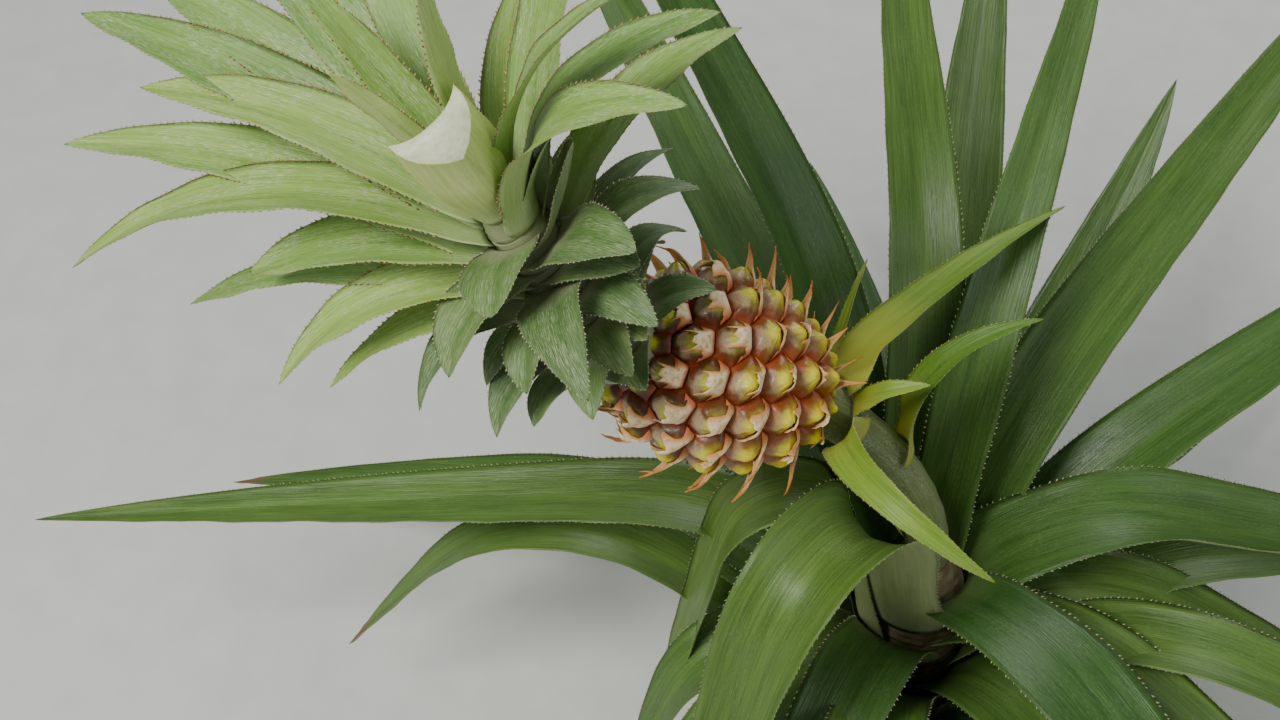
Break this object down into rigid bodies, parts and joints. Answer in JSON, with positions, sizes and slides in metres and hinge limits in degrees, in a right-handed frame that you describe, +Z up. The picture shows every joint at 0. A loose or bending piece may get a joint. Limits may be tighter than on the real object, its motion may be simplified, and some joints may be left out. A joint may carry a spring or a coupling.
{
  "type": "pineapple plant",
  "caption": "Fruiting pineapple plant: a spiral rosette of strap leaves on a short stem, and a bent stalk that carries a leaning yellow fruit with its leafy crown.",
  "frame": {"origin": "centre of the flat cut under the stem, at ground level", "axes": "+Z up along the stem, the fruit leans towards -X and the picture looks along +Y from above"},
  "size_m": [0.9929, 0.9819, 0.6618],
  "materials": {
    "stem": "rough, fibrous",
    "stalk": "matt",
    "fruit": "waxy",
    "leaf": "satin",
    "crown_leaf": "matt, scurfy",
    "bract": "satin"
  },
  "bodies": {
    "root": {"stem": "stem", "fruit_stalk": "stalk", "fruit": "fruit", "leaf_01": "leaf", "leaf_02": "leaf", "leaf_03": "leaf", "leaf_04": "leaf", "leaf_05": "leaf", "leaf_06": "leaf", "leaf_07": "leaf", "leaf_08": "leaf", "leaf_09": "leaf", "leaf_10": "leaf", "leaf_11": "leaf", "leaf_12": "leaf", "leaf_13": "leaf", "leaf_14": "leaf", "leaf_15": "leaf", "leaf_16": "leaf", "leaf_17": "leaf", "leaf_18": "leaf", "leaf_19": "leaf", "leaf_20": "leaf", "leaf_21": "leaf", "leaf_22": "leaf", "leaf_23": "leaf", "leaf_24": "leaf", "leaf_25": "leaf", "leaf_26": "leaf", "leaf_27": "leaf", "leaf_28": "leaf", "leaf_29": "leaf", "leaf_30": "leaf", "leaf_31": "leaf", "leaf_32": "leaf", "leaf_33": "leaf", "crown_tier_1": "crown_leaf", "crown_tier_2": "crown_leaf", "crown_tier_3": "crown_leaf", "crown_tier_4": "crown_leaf", "crown_tier_5": "crown_leaf", "stalk_bract_1": "bract", "stalk_bract_2": "bract", "stalk_bract_3": "bract", "stalk_bract_4": "bract", "stalk_bract_5": "bract", "stalk_bract_6": "bract"}
  },
  "joints": []
}
